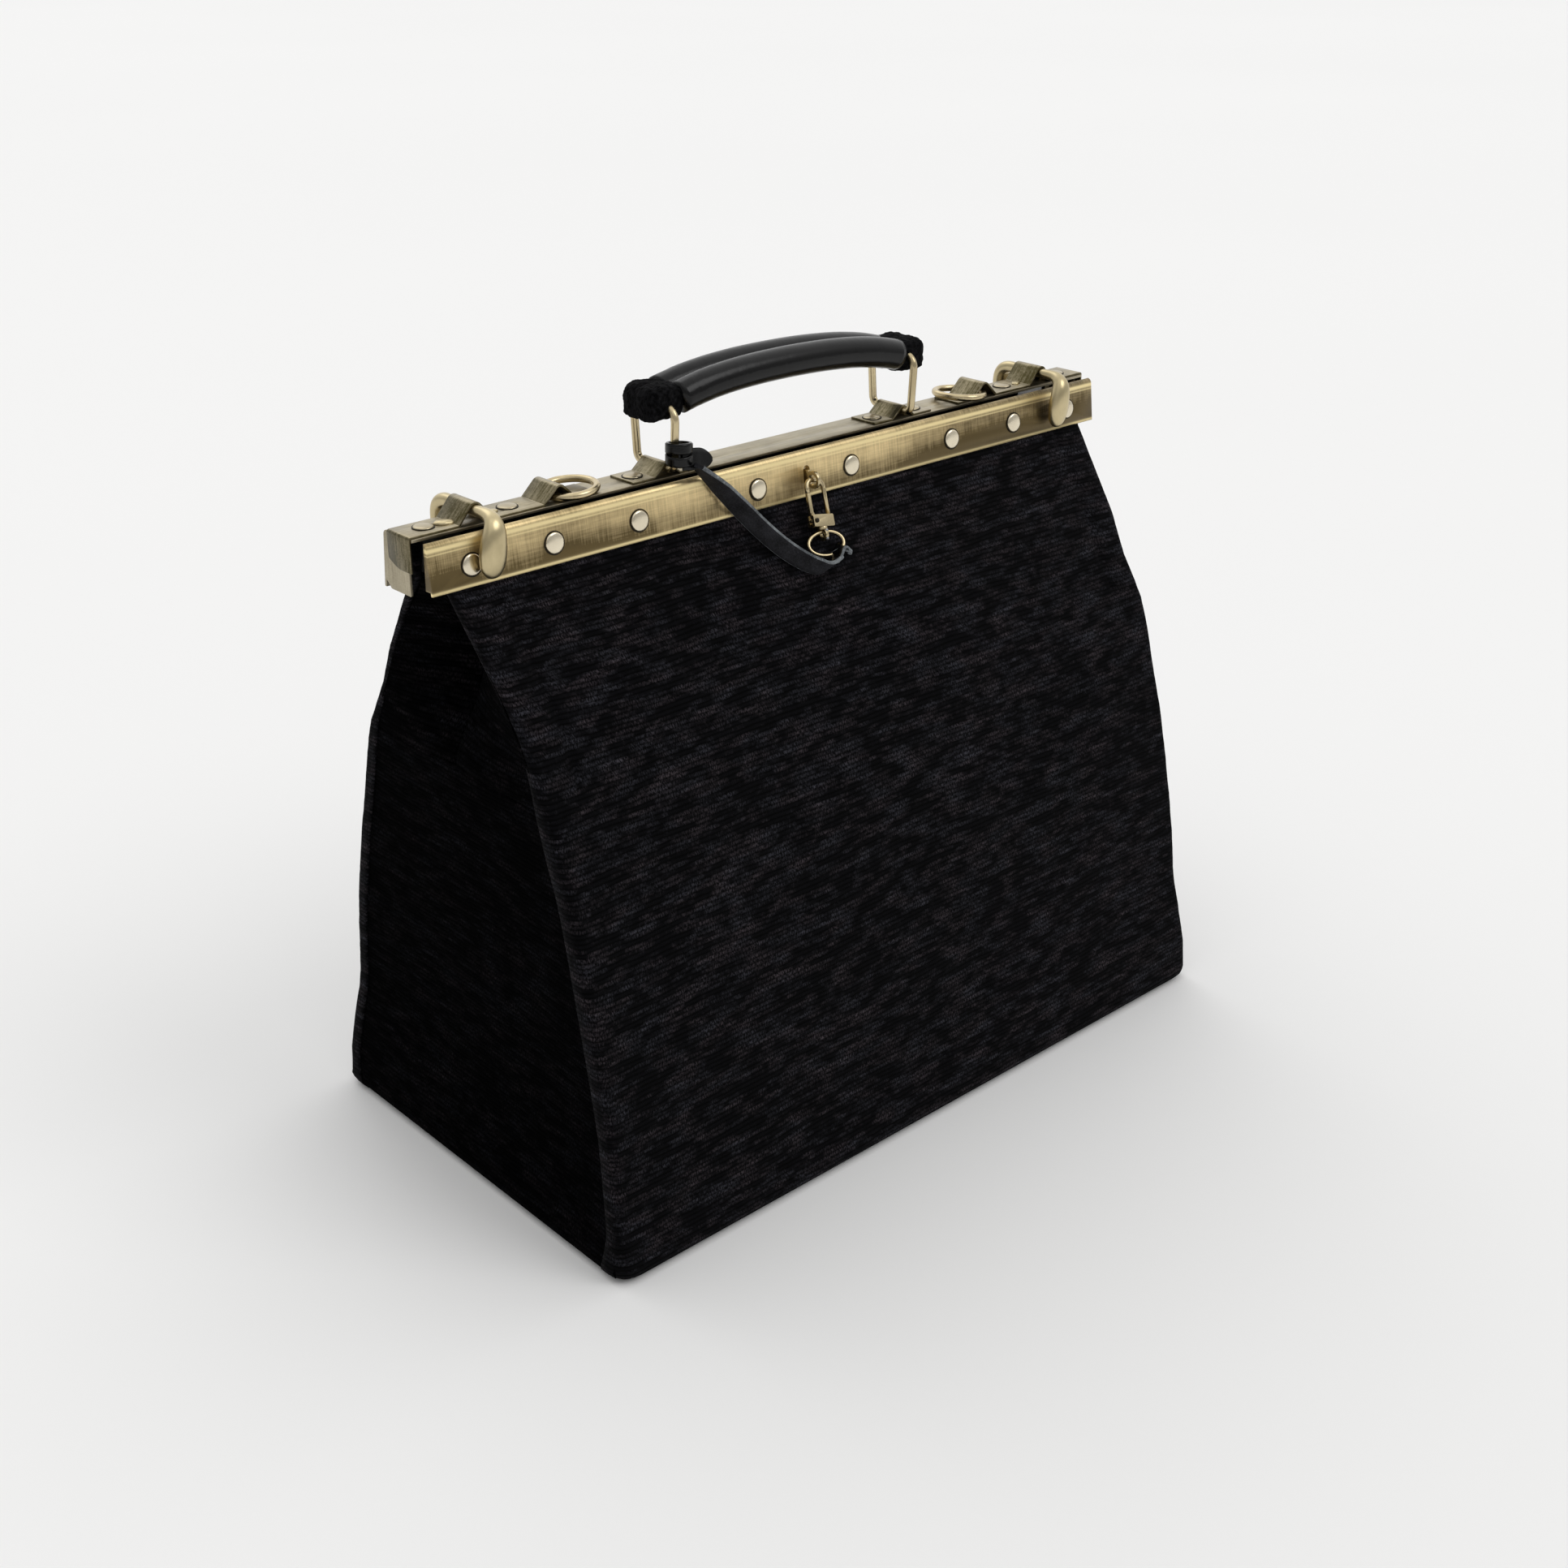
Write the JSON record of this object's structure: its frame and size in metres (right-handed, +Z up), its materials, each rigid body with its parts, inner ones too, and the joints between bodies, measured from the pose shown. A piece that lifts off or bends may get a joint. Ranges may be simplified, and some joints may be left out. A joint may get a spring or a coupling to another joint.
{
  "type": "doctor bag",
  "caption": "Black cloth doctor bag with a hinged antique-brass frame, turn hooks, two-roll handle, strap rings and a snap hook on a short leather strap.",
  "frame": {"origin": "middle of the base, at the floor", "axes": "+X along the frame to the right as the front is seen, +Y from the front to the rear, +Z up"},
  "size_m": [0.402, 0.2196, 0.3506],
  "materials": {
    "cloth": "matt ribbed chenille with a faint sheen",
    "board": "grey-brown fibreboard",
    "steel": "plain flat steel",
    "brass": "brushed antique brass",
    "leather": "smooth black leather",
    "cord": "twisted cotton cord"
  },
  "bodies": {
    "bag": {"base_panel": "cloth", "base_board": "board", "front_lower_panel": "cloth", "rear_lower_panel": "cloth", "left_lower_gusset": "cloth", "right_lower_gusset": "cloth", "left_upper_gusset": "cloth", "right_upper_gusset": "cloth", "front_fold": "cloth", "rear_fold": "cloth", "left_spreader": "steel", "right_spreader": "steel", "hinge_pins": "steel"},
    "front_half": {"front_upper_panel": "cloth", "front_bar": "brass", "front_rivets": "brass", "front_left_arm": "steel", "front_right_arm": "steel", "clasp_staple": "brass"},
    "rear_half": {"rear_upper_panel": "cloth", "rear_bar": "brass", "rear_rivets": "brass", "rear_left_arm": "steel", "rear_right_arm": "steel", "left_end_plate": "brass", "right_end_plate": "brass", "left_handle_plate": "brass", "right_handle_plate": "brass", "top_rivets": "brass", "top_prongs": "brass"},
    "left_hook": {"left_hook": "brass"},
    "right_hook": {"right_hook": "brass"},
    "left_strap_ring": {"left_strap_ring": "brass"},
    "right_strap_ring": {"right_strap_ring": "brass"},
    "left_handle_ring": {"left_handle_ring": "brass", "strap_hitch": "leather", "leather_strap": "leather"},
    "right_handle_ring": {"right_handle_ring": "brass"},
    "grip": {"grip_core": "cord", "grip_sleeve": "leather", "left_grip_end": "cloth", "right_grip_end": "cloth"},
    "clasp": {"clasp_shackle": "brass", "clasp_block": "brass", "clasp_pin": "brass"},
    "clasp_gate": {"clasp_gate": "brass"},
    "clasp_swivel": {"clasp_swivel": "brass", "split_ring": "brass", "strap_loop": "leather"}
  },
  "joints": [
    {"name": "front_half", "type": "hinge", "parent": "bag", "child": "front_half", "pos_m": [0, -0.056, 0.2075], "axis": [1, 0, 0], "range_deg": [0, 75], "deforming": ["front_fold", "left_upper_gusset", "right_upper_gusset", "leather_strap"]},
    {"name": "rear_half", "type": "hinge", "parent": "bag", "child": "rear_half", "pos_m": [0, 0.056, 0.2075], "axis": [-1, 0, 0], "range_deg": [0, 75], "deforming": ["rear_fold", "left_upper_gusset", "right_upper_gusset", "leather_strap"]},
    {"name": "left_hook_turn", "type": "hinge", "parent": "rear_half", "child": "left_hook", "pos_m": [-0.1693, 0.0038, 0.31087], "axis": [0, 1, 0], "range_deg": [0, 180]},
    {"name": "right_hook_turn", "type": "hinge", "parent": "rear_half", "child": "right_hook", "pos_m": [0.1693, 0.0038, 0.31087], "axis": [0, 1, 0], "range_deg": [0, 180]},
    {"name": "left_strap_ring_lift", "type": "hinge", "parent": "rear_half", "child": "left_strap_ring", "pos_m": [-0.1299, 0.0038, 0.3073], "axis": [0, -1, 0], "range_deg": [0, 50]},
    {"name": "right_strap_ring_lift", "type": "hinge", "parent": "rear_half", "child": "right_strap_ring", "pos_m": [0.1299, 0.0038, 0.3073], "axis": [0, 1, 0], "range_deg": [0, 50]},
    {"name": "handle_swing", "type": "hinge", "parent": "rear_half", "child": "left_handle_ring", "pos_m": [-0.0715, 0.0038, 0.30892], "axis": [0, 1, 0], "range_deg": [-50, 50], "deforming": ["leather_strap"]},
    {"name": "right_ring_swing", "type": "hinge", "parent": "rear_half", "child": "right_handle_ring", "pos_m": [0.0715, 0.0038, 0.30892], "axis": [0, 1, 0], "range_deg": [-50, 50]},
    {"name": "grip_turn", "type": "hinge", "parent": "left_handle_ring", "child": "grip", "pos_m": [-0.0715, 0.0038, 0.33582], "axis": [0, 1, 0], "range_deg": [-50, 50]},
    {"name": "clasp_swing", "type": "hinge", "parent": "front_half", "child": "clasp", "pos_m": [0.0008, -0.018, 0.2926], "axis": [-0.9862, 0, 0.1653], "range_deg": [0, 110], "deforming": ["leather_strap"]},
    {"name": "clasp_gate_open", "type": "hinge", "parent": "clasp", "child": "clasp_gate", "pos_m": [-0.00664, -0.02585, 0.27664], "axis": [-0.0694, 0.9075, -0.4142], "range_deg": [0, 20], "stiffness_Nm_per_rad": 0.01},
    {"name": "clasp_swivel_turn", "type": "hinge", "parent": "clasp", "child": "clasp_swivel", "pos_m": [-0.00258, -0.02745, 0.27246], "axis": [0.15, 0.42, 0.895], "range_deg": [-5, 5], "deforming": ["leather_strap"]}
  ],
  "couplings": [
    {"joint": "right_ring_swing", "follows": "handle_swing", "ratio": 1},
    {"joint": "grip_turn", "follows": "handle_swing", "ratio": -1}
  ]
}
